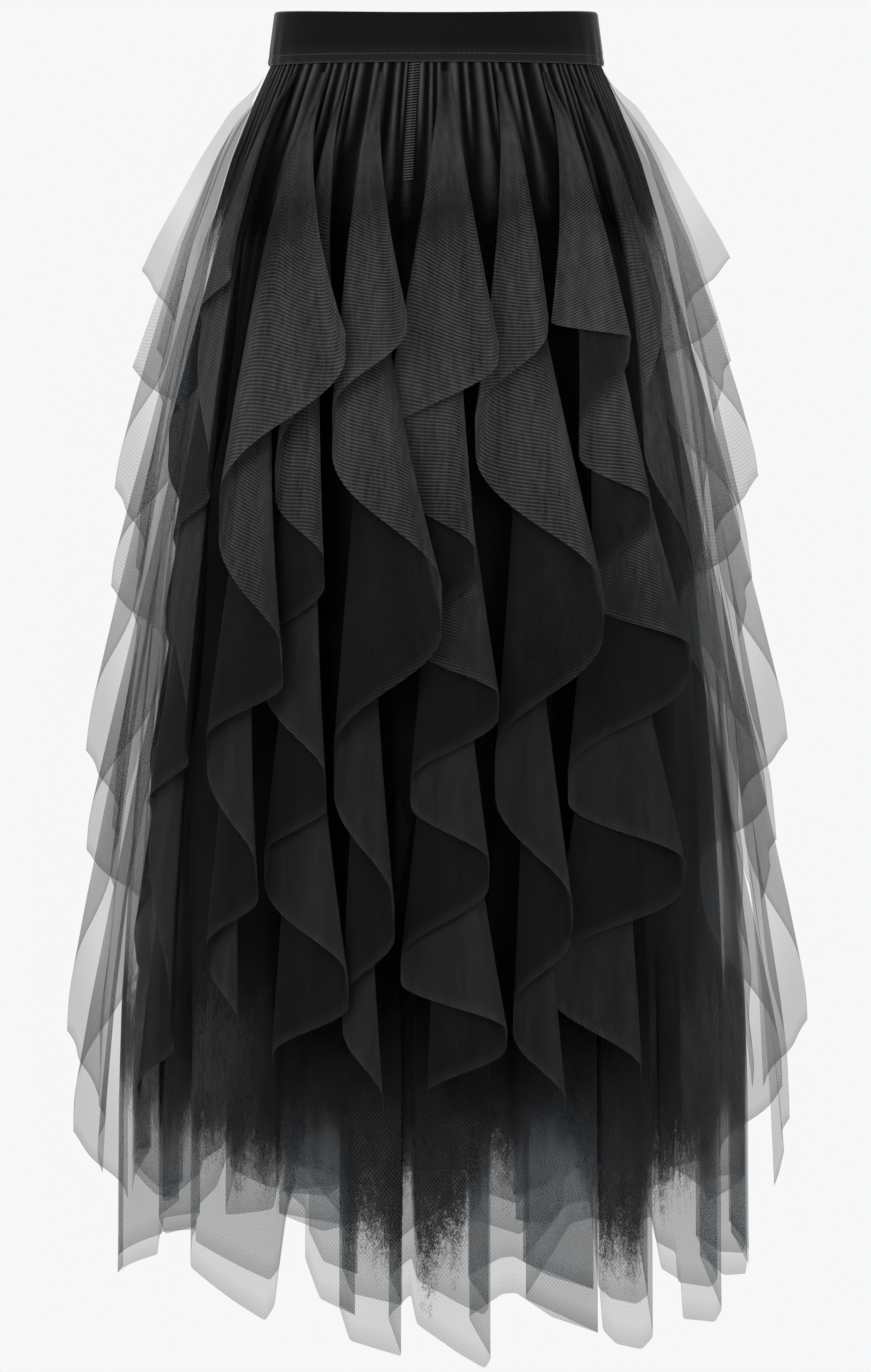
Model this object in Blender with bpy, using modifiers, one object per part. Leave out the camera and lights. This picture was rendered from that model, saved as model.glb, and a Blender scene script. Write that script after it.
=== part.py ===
"""Black tulle skirt: a knit waistband, a satin lining, two gathered tulle skirts and a ring of
cascade flounces, hollow and hanging as it does when worn.

Metres, +Z up. The front faces -Y. The origin is the middle of the waistband, at half its height.
An azimuth is an angle in degrees round the skirt: 0 at the centre front, 90 at +X, 180 at the back.
"""

import math
from collections import namedtuple

import bpy

MM = 0.001

Profile = namedtuple("Profile", "height half_width underskirt lining")
Hem = namedtuple("Hem", "azimuth height")
Relief = namedtuple("Relief", "height gather fold")
Turn = namedtuple("Turn", "aside height reach")
Flounce = namedtuple(
    "Flounce",
    "name pattern middle seam_top seam_low scale drop reach lift_left lift_right",
)

# Finishes: base colour and roughness
KNIT_ELASTIC = (0.012, 0.012, 0.013), 0.85
SATIN_LINING = (0.006, 0.006, 0.007), 0.45
TULLE = (0.03, 0.032, 0.036), 0.8

# Waistband
BAND_TOP = 18.5 * MM
BAND_BOTTOM = -17.5 * MM
BAND_HALF_WIDTH_TOP = 107.0 * MM
BAND_HALF_WIDTH_BOTTOM = 111.5 * MM
BAND_WALL = 2.5 * MM
BAND_FRONT_DIP = 3.0 * MM
BAND_SIDES = 64

# Cloth
CLOTH_WALL = 1.0 * MM
SEAM_GAP = 0.3 * MM
GATHERS = 72
FOLDS = 18
FOLD_DRIFT = 0.15
FOLD_DRIFT_TURNS = 3
CREASE_ANGLE = 50.0

# The skirt's plan is an ellipse. Its depth is this share of its width, at the waist and at the hem.
DEPTH_AT_WAIST = 0.82
DEPTH_AT_HEM = 0.90
DEPTH_HEM_HEIGHT = -700 * MM

# Down the skirt, in millimetres: the overskirt's half width, and how far inside it the underskirt
# and the lining hang. All three are sewn together under the band, so they close up there.
PROFILE = (
    Profile(-18, 111.0, 2.8, 4.4),
    Profile(-40, 121.0, 5.2, 9.0),
    Profile(-80, 137.0, 5.7, 12.0),
    Profile(-134, 153.0, 5.7, 13.0),
    Profile(-181, 162.0, 5.7, 13.5),
    Profile(-241, 172.0, 5.7, 13.5),
    Profile(-308, 181.0, 5.7, 13.5),
    Profile(-375, 189.0, 5.7, 13.5),
    Profile(-442, 196.0, 5.7, 13.5),
    Profile(-509, 202.0, 5.7, 14.0),
    Profile(-576, 207.0, 5.7, 14.5),
    Profile(-643, 211.0, 5.7, 15.5),
    Profile(-710, 213.0, 5.7, 17.5),
    Profile(-885, 214.0, 5.7, 17.5),
)

# Heights of the rows of points that the lining and the underskirt share
INNER_ROWS = (-18.0, -60, -130, -260, -440)
UNDERSKIRT_LAST_ROW = -660.0

# The lining
LINING_SEAM_AZIMUTH = -8.0
LINING_HEM_SIDE = -688 * MM
LINING_HEM_CENTRE = -700 * MM
LINING_STATIONS = 24

# The underskirt
UNDERSKIRT_STATIONS = 36
UNDERSKIRT_POINTS = 9
UNDERSKIRT_POINTS_TURNED = 0.2
UNDERSKIRT_HEM_HIGH = -765 * MM
UNDERSKIRT_HEM_LOW = -812 * MM

# Heights of the overskirt's rows of points, down to where its hem starts to be cut in points
OVERSKIRT_ROWS = (-18.0, -42, -90, -160, -300, -480, -725)

# The overskirt's hem at the front, in degrees and millimetres, and at the back seen through from the front
HEM_FRONT = (
    Hem(-90, -824),
    Hem(-74, -826),
    Hem(-58, -806),
    Hem(-47, -812),
    Hem(-32, -852),
    Hem(-26, -776),
    Hem(-14, -850),
    Hem(-6, -874),
    Hem(-2, -838),
    Hem(8, -882),
    Hem(13, -846),
    Hem(20, -850),
    Hem(29, -860),
    Hem(32, -794),
    Hem(38, -872),
    Hem(42, -786),
    Hem(57, -856),
    Hem(70, -828),
    Hem(90, -824),
)

# How deep the gathers and the hanging folds are, in millimetres, down the skirt
RELIEF = (
    Relief(-18, 1.2, 0.0),
    Relief(-42, 3.3, 0.0),
    Relief(-75, 2.2, 0.6),
    Relief(-125, 1.0, 1.6),
    Relief(-220, 0.0, 3.5),
    Relief(-480, 0.0, 5.0),
    Relief(-640, 0.0, 5.5),
    Relief(-725, 0.0, 9.0),
    Relief(-885, 0.0, 20.0),
)

# Flounces. A flounce is sewn down a line and its free edge zigzags down beside it. A turn of that
# edge is where it folds back: how far round from the flounce's middle in degrees, its height in
# millimetres, and how far out it stands as a share of the flounce's reach.
PATTERNS = {
    "broad": (
        Turn(21.0, -200, 1.0),
        Turn(-5.0, -322, 0.95),
        Turn(12.0, -424, 1.0),
        Turn(-4.5, -476, 0.85),
        Turn(9.0, -566, 1.0),
        Turn(-1.5, -612, 0.9),
        Turn(6.0, -660, 0.9),
    ),
    "under": (
        Turn(4.5, -195, 0.75),
        Turn(-7.0, -300, 0.8),
        Turn(5.5, -358, 0.9),
        Turn(-7.5, -420, 0.85),
        Turn(7.5, -506, 1.0),
        Turn(-5.0, -552, 0.85),
        Turn(12.0, -637, 1.0),
        Turn(-1.5, -684, 0.95),
    ),
    "twist": (
        Turn(6.5, -186, 1.0),
        Turn(-8.5, -262, 0.8),
        Turn(13.0, -384, 1.0),
        Turn(-6.0, -490, 0.85),
        Turn(5.5, -590, 1.0),
        Turn(-3.5, -650, 0.85),
        Turn(4.0, -715, 1.0),
    ),
    "centre": (
        Turn(12.0, -207, 1.0),
        Turn(-12.0, -284, 0.85),
        Turn(7.0, -354, 1.0),
        Turn(-3.5, -402, 0.85),
        Turn(10.5, -446, 1.0),
        Turn(-4.5, -504, 0.85),
        Turn(8.5, -556, 1.0),
        Turn(-6.0, -622, 0.9),
        Turn(11.0, -666, 1.0),
        Turn(-1.5, -708, 0.9),
    ),
    "wide": (
        Turn(-7.5, -190, 0.9),
        Turn(8.5, -204, 1.0),
        Turn(-3.0, -275, 0.85),
        Turn(10.0, -318, 0.9),
        Turn(-2.5, -372, 0.85),
        Turn(15.0, -414, 1.0),
        Turn(-9.0, -502, 0.9),
        Turn(10.5, -558, 1.0),
        Turn(-13.5, -626, 0.9),
        Turn(2.0, -696, 1.0),
    ),
    "short": (
        Turn(5.0, -176, 0.9),
        Turn(-5.0, -260, 0.9),
        Turn(5.0, -370, 1.0),
    ),
    "side": (
        Turn(8.0, -154, 1.0),
        Turn(-8.0, -190, 0.5),
        Turn(8.0, -300, 1.0),
        Turn(-8.0, -340, 0.5),
        Turn(8.0, -476, 1.0),
        Turn(-8.0, -516, 0.5),
        Turn(8.0, -664, 1.0),
        Turn(-6.0, -708, 0.6),
    ),
}

# Where the flounces hang: the azimuth of the middle, of the sewn line at the band and lower down,
# the scale of the turns, how far they are above the pattern's heights in millimetres, the reach in
# millimetres, and the share of it by which the left and right sides are lifted over their
# neighbours, or pressed under them where it is below 0.
FLOUNCES = (
    Flounce("flounce_front_1", "broad", -38, -43.5, -42.0, 1.0, 0, 32, 0.35, 0.4),
    Flounce("flounce_front_2", "under", -26, -32.0, -27.0, 1.0, 0, 24, -0.45, 0.32),
    Flounce("flounce_front_3", "twist", -12, -20.0, -14.5, 1.0, 0, 28, -0.5, 0.5),
    Flounce("flounce_front_4", "centre", 0, 3.5, 1.5, 1.0, 0, 27, -0.55, 0.45),
    Flounce("flounce_front_5", "twist", 16.5, 22.5, 18.0, 1.0, -2, 28, -0.5, 0.56),
    Flounce("flounce_front_6", "wide", 33, 40.0, 36.0, 1.0, 0, 27, -0.52, 0.4),
    Flounce("flounce_front_7", "short", 51, 52.0, 51.0, 1.0, 0, 20, -0.4, -0.4),
    Flounce("flounce_right_1", "side", 62, 62.0, 62.0, 1.0, -35, 27, -0.2, 0.32),
    Flounce("flounce_right_2", "side", 80, 80.0, 80.0, 1.0, 8, 30, -0.32, 0.32),
    Flounce("flounce_right_3", "side", 98, 98.0, 98.0, 1.0, -60, 28, -0.32, 0.32),
    Flounce("flounce_back_1", "twist", 115, 120.0, 116.0, 1.0, 10, 27, -0.45, 0.5),
    Flounce("flounce_back_2", "centre", 133, 136.0, 134.0, 1.0, 0, 27, -0.5, 0.45),
    Flounce("flounce_back_3", "twist", 151, 157.0, 153.0, 1.0, -22, 27, -0.4, 0.4),
    Flounce("flounce_back_4", "side", 169, 169.0, 169.0, 1.0, -40, 20, -0.32, -0.32),
    Flounce("flounce_back_5", "twist", 186, 180.0, 184.0, -1.0, -5, 27, 0.4, -0.4),
    Flounce("flounce_back_6", "centre", 202, 200.0, 201.0, -1.0, 8, 26, 0.45, -0.56),
    Flounce("flounce_back_7", "twist", 221, 215.0, 219.0, -1.0, -25, 28, 0.62, -0.4),
    Flounce("flounce_back_8", "centre", 238, 235.0, 237.0, -1.0, 12, 27, 0.4, -0.4),
    Flounce("flounce_left_1", "side", 255, 255.0, 255.0, -1.0, -52, 28, 0.32, -0.32),
    Flounce("flounce_left_2", "side", 272, 272.0, 272.0, -1.0, 0, 30, 0.32, -0.32),
    Flounce("flounce_left_3", "side", 289, 289.0, 289.0, -1.0, -66, 27, 0.32, -0.32),
    Flounce("flounce_left_4", "side", 305, 305.0, 305.0, 1.0, 0, 25, -0.32, 0.32),
)

# A flounce's surface. It is cut SLANT wide and sewn on no higher than TOP, 0.3 mm off the overskirt.
FLOUNCE_TOP = -24.0 * MM
FLOUNCE_SLANT = 240 * MM
FLOUNCE_SEAT = CLOTH_WALL + SEAM_GAP
FLOUNCE_CLEARANCE = 4.0 * MM
FLOUNCE_STACK = 2.1 * MM
ROOT_SWING = 0.14
SEAM_LOW_HEIGHT = -300 * MM
FOLD_DEPTH_AT_SEAM = 0.3 * MM
FOLD_DEPTH_AT_EDGE = 2.2 * MM
LIFT_WIDTH = 20.0 * MM

# Its points: along each run between two turns, and across from the seam to the free edge
STATIONS = (0.0, 0.25, 0.75)
WIDE_STATIONS = (0.0, 0.25, 0.5, 0.75)
WIDE_SWEEP = 18.0
ACROSS = (0.0, 0.25, 0.6, 1.0)


def mix(start, end, share):
    return start + (end - start) * share


def at_height(rows, column, height):
    """A column of a table at a height, both in metres, on the straight line between two rows."""
    above = rows[0]
    for row in rows:
        if row.height * MM <= height:
            share = (above.height * MM - height) / max(MM, (above.height - row.height) * MM)
            return mix(getattr(above, column), getattr(row, column), min(1.0, max(0.0, share))) * MM
        above = row
    return getattr(above, column) * MM


def half_width(height):
    return at_height(PROFILE, "half_width", height)


def depth_share(height):
    return mix(DEPTH_AT_WAIST, DEPTH_AT_HEM, min(1.0, max(0.0, height / DEPTH_HEM_HEIGHT)))


def place(azimuth, height, width, out=0.0):
    """A point of the ellipse of this half width, moved outwards along its normal."""
    angle = math.radians(azimuth)
    depth = width * depth_share(height)
    normal = (depth * math.sin(angle), -width * math.cos(angle))
    length = math.hypot(*normal)
    x = width * math.sin(angle) + out * normal[0] / length
    y = -depth * math.cos(angle) + out * normal[1] / length
    return x, y, height


def wave(turns):
    """A cosine wave that is 0 on its ridges and 1 in its troughs."""
    return 0.5 - 0.5 * math.cos(2 * math.pi * turns)


def material(name, finish):
    colour, roughness = finish
    made = bpy.data.materials.new(name)
    made.use_nodes = True
    shader = made.node_tree.nodes["Principled BSDF"]
    shader.inputs["Base Color"].default_value = (*colour, 1.0)
    shader.inputs["Roughness"].default_value = roughness
    shader.inputs["Metallic"].default_value = 0.0
    return made


def cloth(name, grid, wall, finish, collection, ring=False):
    """A sheet lofted through the rows of points in grid, given its wall by Solidify."""
    across = len(grid[0])
    points = [point for row in grid for point in row]
    faces = []
    for i in range(len(grid) - 1):
        for j in range(across if ring else across - 1):
            k = (j + 1) % across
            upper = i * across
            lower = upper + across
            faces.append((upper + j, lower + j, lower + k, upper + k))
    mesh = bpy.data.meshes.new(name)
    mesh.from_pydata(points, [], faces)
    mesh.materials.append(finish)
    mesh.shade_smooth()
    mesh.set_sharp_from_angle(angle=math.radians(CREASE_ANGLE))
    made = bpy.data.objects.new(name, mesh)
    collection.objects.link(made)
    solid = made.modifiers.new("Wall", "SOLIDIFY")
    solid.thickness = wall
    solid.offset = 0.0
    solid.use_quality_normals = True
    return made


def waistband(collection):
    finish = material("matt knit elastic", KNIT_ELASTIC)
    grid = []
    for share in (1.0, 0.0):
        row = []
        for i in range(BAND_SIDES):
            azimuth = 360.0 * i / BAND_SIDES
            dip = BAND_FRONT_DIP * share * max(0.0, math.cos(math.radians(azimuth))) ** 2
            height = mix(BAND_BOTTOM, BAND_TOP, share) - dip
            width = mix(BAND_HALF_WIDTH_BOTTOM, BAND_HALF_WIDTH_TOP, share)
            row.append(place(azimuth, height, width))
        grid.append(row)
    return cloth("waistband", grid, BAND_WALL, finish, collection, ring=True)


def panel_azimuths(start, end, stations, height, width):
    """Azimuths from one seam to the next, half a seam gap inside each."""
    inside = math.degrees(0.5 * SEAM_GAP / (width * depth_share(height)))
    for i in range(stations + 1):
        yield mix(start + inside, end - inside, i / stations)


def lining(name, start, end, finish, collection):
    top = INNER_ROWS[0] * MM
    grid = []
    for i in range(len(INNER_ROWS) + 1):
        row = []
        for azimuth in panel_azimuths(start, end, LINING_STATIONS, top, half_width(top)):
            centre = max(0.0, math.cos(math.radians(azimuth)))
            height = mix(LINING_HEM_SIDE, LINING_HEM_CENTRE, centre)
            if i < len(INNER_ROWS):
                height = INNER_ROWS[i] * MM
            row.append(place(azimuth, height, half_width(height), -at_height(PROFILE, "lining", height)))
        grid.append(row)
    return cloth(name, grid, CLOTH_WALL, finish, collection)


def hanging_fold(azimuth, height):
    """How far the long folds draw the tulle in at a place."""
    turns = FOLDS * azimuth / 360.0 + FOLD_DRIFT * math.sin(math.radians(FOLD_DRIFT_TURNS * azimuth))
    return at_height(RELIEF, "fold", height) * wave(turns)


def gather(azimuth, height):
    """How far the gathers draw the tulle in. They run out flat at the side seams, at 90 degrees each way."""
    from_seam = abs(abs((azimuth + 180.0) % 360.0 - 180.0) - 90.0)
    pitch = 360.0 / GATHERS
    flat = min(1.0, max(0.0, from_seam / pitch - 0.5))
    return at_height(RELIEF, "gather", height) * wave(azimuth / pitch) * flat


def underskirt(name, start, end, finish, collection):
    heights = (*INNER_ROWS, UNDERSKIRT_LAST_ROW)
    top = heights[0] * MM
    grid = []
    for i in range(len(heights) + 1):
        row = []
        for azimuth in panel_azimuths(start, end, UNDERSKIRT_STATIONS, top, half_width(top)):
            drop = wave(UNDERSKIRT_POINTS * azimuth / 360.0 + UNDERSKIRT_POINTS_TURNED)
            height = mix(UNDERSKIRT_HEM_HIGH, UNDERSKIRT_HEM_LOW, drop)
            if i < len(heights):
                height = heights[i] * MM
            out = -at_height(PROFILE, "underskirt", height) - hanging_fold(azimuth, height)
            row.append(place(azimuth, height, half_width(height), out))
        grid.append(row)
    return cloth(name, grid, CLOTH_WALL, finish, collection)


def overskirt_hem(azimuth):
    """Height of the overskirt's pointed hem. The back's hem is the front's, seen through from it."""
    turned = 180.0 - azimuth if azimuth > 90.0 else azimuth
    before = HEM_FRONT[0]
    for row in HEM_FRONT[1:]:
        if turned <= row.azimuth:
            share = (turned - before.azimuth) / (row.azimuth - before.azimuth)
            return mix(before.height, row.height, share) * MM
        before = row
    return before.height * MM


def overskirt(name, start, end, finish, collection):
    top = OVERSKIRT_ROWS[0] * MM
    grid = []
    for i in range(len(OVERSKIRT_ROWS) + 1):
        row = []
        for azimuth in panel_azimuths(start, end, GATHERS, top, half_width(top)):
            height = OVERSKIRT_ROWS[i] * MM if i < len(OVERSKIRT_ROWS) else overskirt_hem(azimuth)
            drawn_in = gather(azimuth, height) + hanging_fold(azimuth, height)
            row.append(place(azimuth, height, half_width(height), -drawn_in))
        grid.append(row)
    return cloth(name, grid, CLOTH_WALL, finish, collection)


def free_edge(turns, along):
    """The free edge as a Turn, where along counts its turns. It rounds each fold."""
    index = min(int(along), len(turns) - 2)
    share = along - index
    start = turns[index]
    end = turns[index + 1]
    return Turn(
        mix(start.aside, end.aside, wave(0.5 * share)),
        mix(start.height, end.height, share),
        mix(start.reach, end.reach, share),
    )


def flounce_point(plan, turns, along, across):
    """A point of a flounce, across from its seam at 0 to its free edge at 1."""
    edge = free_edge(turns, along)
    edge_height = (edge.height + plan.drop) * MM
    root = min(FLOUNCE_TOP, edge_height + FLOUNCE_SLANT)
    height = mix(root, edge_height, across)
    low = min(1.0, (root - FLOUNCE_TOP) / (SEAM_LOW_HEIGHT - FLOUNCE_TOP))
    seam = mix(plan.seam_top, plan.seam_low, low)
    azimuth = mix(seam, plan.middle + edge.aside * plan.scale, mix(ROOT_SWING, 1.0, across))
    # Runs sewn on under the band stand behind one another there
    turns_at_band = sum((turn.height + plan.drop) * MM + FLOUNCE_SLANT > FLOUNCE_TOP for turn in turns)
    out = FLOUNCE_STACK * max(0.0, turns_at_band - along)
    # Each fold rounds from the run in front to the run behind
    out -= mix(FOLD_DEPTH_AT_SEAM, FOLD_DEPTH_AT_EDGE, across) * math.sin(2 * math.pi * along)
    width = half_width(height)
    if across == 0:
        return place(azimuth, height, width, out + FLOUNCE_SEAT - hanging_fold(azimuth, height))
    out += (plan.reach * edge.reach * MM - FLOUNCE_CLEARANCE) * across
    # Its left and right sides are lifted over the flounces next to it, or pressed under them
    turned = math.radians(azimuth - seam) * width / LIFT_WIDTH
    mean = 0.5 * (plan.lift_left + plan.lift_right)
    slope = 0.5 * (plan.lift_right - plan.lift_left)
    out *= 1.0 + mean * (1.0 - 1.0 / math.cosh(turned)) + slope * math.tanh(turned)
    return place(azimuth, height, width, FLOUNCE_CLEARANCE + out)


def flounce(plan, finish, collection):
    turns = PATTERNS[plan.pattern]
    stations = []
    for i in range(len(turns) - 1):
        wide = abs(turns[i + 1].aside - turns[i].aside) > WIDE_SWEEP
        stations.extend(i + share for share in (WIDE_STATIONS if wide else STATIONS))
    stations.append(len(turns) - 1.0)
    grid = []
    for along in stations:
        grid.append([flounce_point(plan, turns, along, across) for across in ACROSS])
    return cloth(plan.name, grid, CLOTH_WALL, finish, collection)


def build():
    for old in list(bpy.data.objects):
        bpy.data.objects.remove(old)
    collection = bpy.data.collections.new("tulle skirt")
    bpy.context.scene.collection.children.link(collection)
    waistband(collection)
    satin = material("satin lining", SATIN_LINING)
    lining("lining_right", LINING_SEAM_AZIMUTH, LINING_SEAM_AZIMUTH + 180, satin, collection)
    lining("lining_left", LINING_SEAM_AZIMUTH - 180, LINING_SEAM_AZIMUTH, satin, collection)
    tulle = material("tulle", TULLE)
    underskirt("underskirt_front", -90, 90, tulle, collection)
    underskirt("underskirt_back", 90, 270, tulle, collection)
    overskirt("overskirt_front", -90, 90, tulle, collection)
    overskirt("overskirt_back", 90, 270, tulle, collection)
    for plan in FLOUNCES:
        flounce(plan, tulle, collection)


build()
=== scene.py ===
"""Looks of the black tulle skirt: its knit band, satin lining, gathered tulle skirts and flounces.

Metres, +Z up, the front faces -Y. An azimuth is in degrees round the skirt: 0 at the centre front,
90 at +X, 180 at the back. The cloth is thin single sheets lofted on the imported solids' own sizes.
"""

import math
from collections import namedtuple

import bpy
import numpy as np
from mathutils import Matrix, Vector


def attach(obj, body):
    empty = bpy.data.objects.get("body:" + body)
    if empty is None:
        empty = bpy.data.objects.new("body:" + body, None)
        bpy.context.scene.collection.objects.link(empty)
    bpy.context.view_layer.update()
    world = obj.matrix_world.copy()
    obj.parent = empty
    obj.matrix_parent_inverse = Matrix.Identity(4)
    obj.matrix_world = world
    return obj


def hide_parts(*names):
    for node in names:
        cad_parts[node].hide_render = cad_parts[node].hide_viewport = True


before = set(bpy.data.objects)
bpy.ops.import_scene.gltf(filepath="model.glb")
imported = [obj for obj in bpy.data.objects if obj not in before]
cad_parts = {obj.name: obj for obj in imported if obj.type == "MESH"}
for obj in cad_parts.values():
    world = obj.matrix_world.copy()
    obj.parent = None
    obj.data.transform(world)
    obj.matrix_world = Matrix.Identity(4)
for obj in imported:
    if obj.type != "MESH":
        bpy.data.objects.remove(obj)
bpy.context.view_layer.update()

MM = 0.001

Profile = namedtuple("Profile", "height half_width underskirt lining")
Hem = namedtuple("Hem", "azimuth height inset dark_to")
Relief = namedtuple("Relief", "height gather fold")
Turn = namedtuple("Turn", "aside height reach")
Flounce = namedtuple(
    "Flounce",
    "name pattern middle seam_top seam_low scale drop reach lift_left lift_right",
)
Softbox = namedtuple("Softbox", "name place size power")
# What is uneven round the skirt drifts by waves. Each has its count, its start in degrees and its size.
Wave = namedtuple("Wave", "count start size")

# Camera: a long lens straight in front. PIXEL is how much of the skirt one point of the frame covers,
# the centre of the waistband stands at WAIST_COLUMN, WAIST_ROW, and a ray passes through up to
# NET_LAYERS layers of net.
IMAGE_WIDTH = 871
IMAGE_HEIGHT = 1372
PIXEL = 0.67 * MM
WAIST_COLUMN = 436
WAIST_ROW = 40
CAMERA_DISTANCE = 12.0
SENSOR = 36.0
VIEW_END = 100.0
NET_LAYERS = 64

# Stage: a pale round floor, even light from the room and two softboxes, in metres and watts
FLOOR_HEIGHT = -1.05
FLOOR_RADIUS = 2.6
FLOOR_STEP = 3
ROOM_LIGHT = 0.83
SKIRT_MIDDLE = (0.0, 0.0, -0.43)
SOFTBOXES = (
    Softbox("key_softbox", (-1.6, -3.2, 1.4), 1.8, 45.0),
    Softbox("fill_softbox", (2.2, -2.8, 0.2), 2.2, 14.0),
)

# The skirt's plan is an ellipse. Its depth is this share of its width, at the waist and at the hem.
DEPTH_AT_WAIST = 0.82
DEPTH_AT_HEM = 0.90
DEPTH_HEM_HEIGHT = -700 * MM

# Down the skirt, in millimetres: the overskirt's half width, and how far inside it the underskirt
# and the lining hang
PROFILE = (
    Profile(-18, 111.0, 2.8, 4.4),
    Profile(-40, 121.0, 5.2, 9.0),
    Profile(-80, 137.0, 5.7, 12.0),
    Profile(-134, 153.0, 5.7, 13.0),
    Profile(-181, 162.0, 5.7, 13.5),
    Profile(-241, 172.0, 5.7, 13.5),
    Profile(-308, 181.0, 5.7, 13.5),
    Profile(-375, 189.0, 5.7, 13.5),
    Profile(-442, 196.0, 5.7, 13.5),
    Profile(-509, 202.0, 5.7, 14.0),
    Profile(-576, 207.0, 5.7, 14.5),
    Profile(-643, 211.0, 5.7, 15.5),
    Profile(-710, 213.0, 5.7, 17.5),
    Profile(-885, 214.0, 5.7, 17.5),
)

# Waistband: a wall with rounded edges, a groove along its topstitching and a slight ripple of its lower
# edge. Light catches the wall low down and at that edge.
BAND_TOP = 18.5 * MM
BAND_BOTTOM = -17.5 * MM
BAND_HALF_WIDTH_TOP = 107.0 * MM
BAND_HALF_WIDTH_BOTTOM = 111.5 * MM
BAND_HALF_WALL = 1.25 * MM
BAND_FRONT_DIP = 3.0 * MM
BAND_EDGE_ROUNDING = 0.9 * MM
BAND_EDGE_WIDTH = 1.6 * MM
BAND_RIPPLE = 0.25 * MM
BAND_RIPPLES = 36
BAND_RIPPLES_UNEVEN = (Wave(5, 0, 30),)
BAND_LIGHT = 0.16
BAND_LIT_BELOW = (0.1, 0.4)
BAND_EDGE_LIGHT = 0.6
BAND_EDGE_LIT = (0.0, 0.05)
BAND_STATIONS = 480
BAND_ROWS = 28
TOPSTITCH_ABOVE_EDGE = 6.0 * MM
TOPSTITCH_GROOVE = 0.5 * MM
TOPSTITCH_GROOVE_WIDTH = 0.9 * MM
TOPSTITCH_COUNT = 200
TOPSTITCH_SHARE = 0.76
TOPSTITCH_POINTS = 4
TOPSTITCH_THREAD = 0.45 * MM
TOPSTITCH_SINK = 0.35 * MM
TOPSTITCH_ARCH = 0.25 * MM

# Lining: its edge is tucked up into the band's wall, and it has a few soft waves low down
LINING_TOP = -18.0 * MM
LINING_TUCK_HEIGHT = -16.0 * MM
LINING_TUCK_INSET = 0.2 * MM
LINING_SEAM_AZIMUTH = -8.0
LINING_HEM_SIDE = -688 * MM
LINING_HEM_CENTRE = -700 * MM
LINING_WAVES = 10
LINING_WAVE_DEPTH = 3.0 * MM
LINING_WAVE_HEIGHTS = (-200 * MM, -700 * MM)
LINING_LIGHT = 0.8
LINING_FLAT_AT_SEAM = (0.0, 3.0)
LINING_STATIONS = 380
LINING_DOWN = np.concatenate(([0.0], np.linspace(0.0, 0.15, 15), np.linspace(0.15, 1.0, 36)[1:]))

# The serged chain down the net's seam, just left of the centre front. It sinks half as far as the
# gathers below it.
CHAIN_TOP = -19.5 * MM
CHAIN_END = -97.0 * MM
CHAIN_STEP = 1.8 * MM
CHAIN_OFFSETS = np.array((-3.2, -1.1, 1.1, 3.2)) * MM
CHAIN_RISE = np.array((0.0, 0.1, 0.4, 0.7)) * MM
CHAIN_BESIDE_SEAM = 1.2 * MM
CHAIN_OUT = 1.6 * MM
CHAIN_FOLLOWS = 0.5
CHAIN_THREAD = 0.8 * MM

# Under- and overskirt: each panel passes its side seams by a degree. Its gathers lie flat next to them,
# run together in pairs lower down and catch light, and its long folds open between two heights.
SKIRT_TOP = -18.0 * MM
PANEL_HALF_TURN = 91.0
FLAT_AT_SEAM = (0.0, 6.0)
SKIRT_STATIONS = 760
SKIRT_DOWN = np.concatenate((np.linspace(0.0, 0.13, 17), np.linspace(0.13, 1.0, 50)[1:]))
GRAIN_LEANS = 0.2
GATHER_COUNT = 94
GATHERS_UNEVEN = (Wave(5, 40, 0.5), Wave(13, 90, 0.3), Wave(37, 0, 0.16))
GATHERS_PAIR = (-105 * MM, -38 * MM)
GATHERS_CATCH_LIGHT = (-135 * MM, -45 * MM)
RIDGE_NARROWS = 2.5
FOLD_COUNT = 18
FOLDS_UNEVEN = (Wave(3, 0, 0.15),)
FOLDS_OPEN = (-240 * MM, -680 * MM)

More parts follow.
